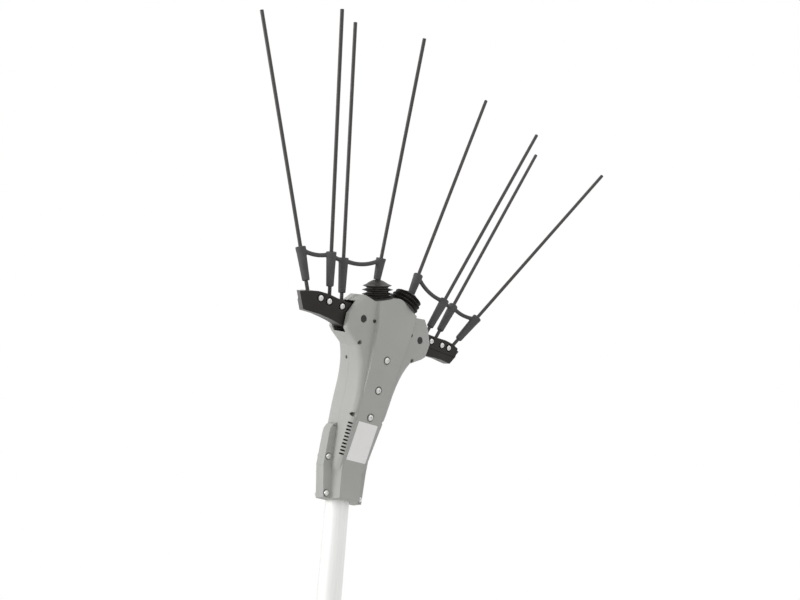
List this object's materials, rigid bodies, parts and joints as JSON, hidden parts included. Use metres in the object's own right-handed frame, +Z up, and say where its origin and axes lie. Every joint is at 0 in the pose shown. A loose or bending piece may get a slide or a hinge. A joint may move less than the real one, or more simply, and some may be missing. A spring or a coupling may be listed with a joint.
{
  "type": "electric olive harvester head",
  "caption": "Beater head for picking olives: a leaning moulded housing on a tube pole drives two opposed rakes of long splayed rods that swing together, with rubber bellows and sleeves.",
  "frame": {"origin": "centre of the pole tube's lower end", "axes": "+Z up the pole's axis, -Y towards the front of the head (the side with the screw heads and the blank label plate, to which the head leans), +X to the right seen from the front"},
  "size_m": [0.6232, 0.2938, 0.964],
  "materials": {
    "housing_grey": "fine moulded texture",
    "rake_black": "satin moulded",
    "rod_dark": "satin drawn fibre",
    "rubber_grey": "matt",
    "rubber_black": "matt",
    "pole_aluminium": "satin anodised",
    "screw_steel": "zinc plated",
    "bolt_dark": "black oxide",
    "motor_steel": "plain",
    "gear_cast": "cast",
    "crank_steel": "ground",
    "bronze": "plain",
    "guide_plastic": "plain"
  },
  "bodies": {
    "housing": {"pole_tube": "pole_aluminium", "front_shell": "housing_grey", "rear_shell": "housing_grey", "centre_screws": "screw_steel", "ear_screws": "screw_steel", "neck_screws": "screw_steel", "flange_screws": "screw_steel", "flange_nuts": "screw_steel", "left_pivot_bolt": "bolt_dark", "right_pivot_bolt": "bolt_dark", "pivot_nuts": "bolt_dark", "left_pivot_sleeve": "crank_steel", "right_pivot_sleeve": "crank_steel", "motor_can": "motor_steel", "motor_end_cap": "rake_black", "motor_saddle": "rake_black", "gearbox": "gear_cast", "yoke_guide": "guide_plastic", "crank_bearing": "crank_steel", "left_bellows": "rubber_black", "right_bellows": "rubber_black"},
    "left_rake": {"left_rake_arm": "rake_black", "left_pivot_bush": "bronze", "left_clamp_bar": "rake_black", "left_clamp_screws": "screw_steel", "left_clamp_nuts": "screw_steel", "left_rod_1": "rod_dark", "left_rod_2": "rod_dark", "left_rod_3": "rod_dark", "left_rod_4": "rod_dark", "left_rod_sleeves": "rubber_grey", "left_drive_pin": "crank_steel"},
    "right_rake": {"right_rake_arm": "rake_black", "right_pivot_bush": "bronze", "right_clamp_bar": "rake_black", "right_clamp_screws": "screw_steel", "right_clamp_nuts": "screw_steel", "right_rod_1": "rod_dark", "right_rod_2": "rod_dark", "right_rod_3": "rod_dark", "right_rod_4": "rod_dark", "right_rod_sleeves": "rubber_grey", "right_drive_pin": "crank_steel"},
    "yoke": {"drive_yoke": "crank_steel"},
    "crank": {"crank_disc": "crank_steel", "crank_pin": "crank_steel"},
    "roller": {"crank_roller": "bronze"}
  },
  "joints": [
    {"name": "left_rake_swing", "type": "hinge", "parent": "housing", "child": "left_rake", "pos_m": [-0.058, -0.0724, 0.55014], "axis": [0, 0.9478, 0.319], "range_deg": [-9, 9], "deforming": ["left_bellows"]},
    {"name": "right_rake_swing", "type": "hinge", "parent": "housing", "child": "right_rake", "pos_m": [0.058, -0.0724, 0.55014], "axis": [0, 0.9478, 0.319], "range_deg": [-9, 9], "deforming": ["right_bellows"]},
    {"name": "yoke_slide", "type": "slide", "parent": "housing", "child": "yoke", "axis": [0, -0.319, 0.9478], "range_m": [-0.0052, 0.0052]},
    {"name": "crank_turn", "type": "hinge", "parent": "housing", "child": "crank", "pos_m": [0, -0.05582, 0.50086], "axis": [0, 0.9478, 0.319], "range_deg": [-60.1, 60.1]},
    {"name": "roller_spin", "type": "hinge", "parent": "crank", "child": "roller", "pos_m": [0.0057, -0.0724, 0.49528], "axis": [0, 0.9478, 0.319], "continuous": true}
  ],
  "couplings": [
    {"joint": "right_rake_swing", "follows": "left_rake_swing", "ratio": -1},
    {"joint": "yoke_slide", "follows": "left_rake_swing", "m_per_rad": -0.0329},
    {"joint": "crank_turn", "follows": "left_rake_swing", "ratio": 6.667}
  ]
}
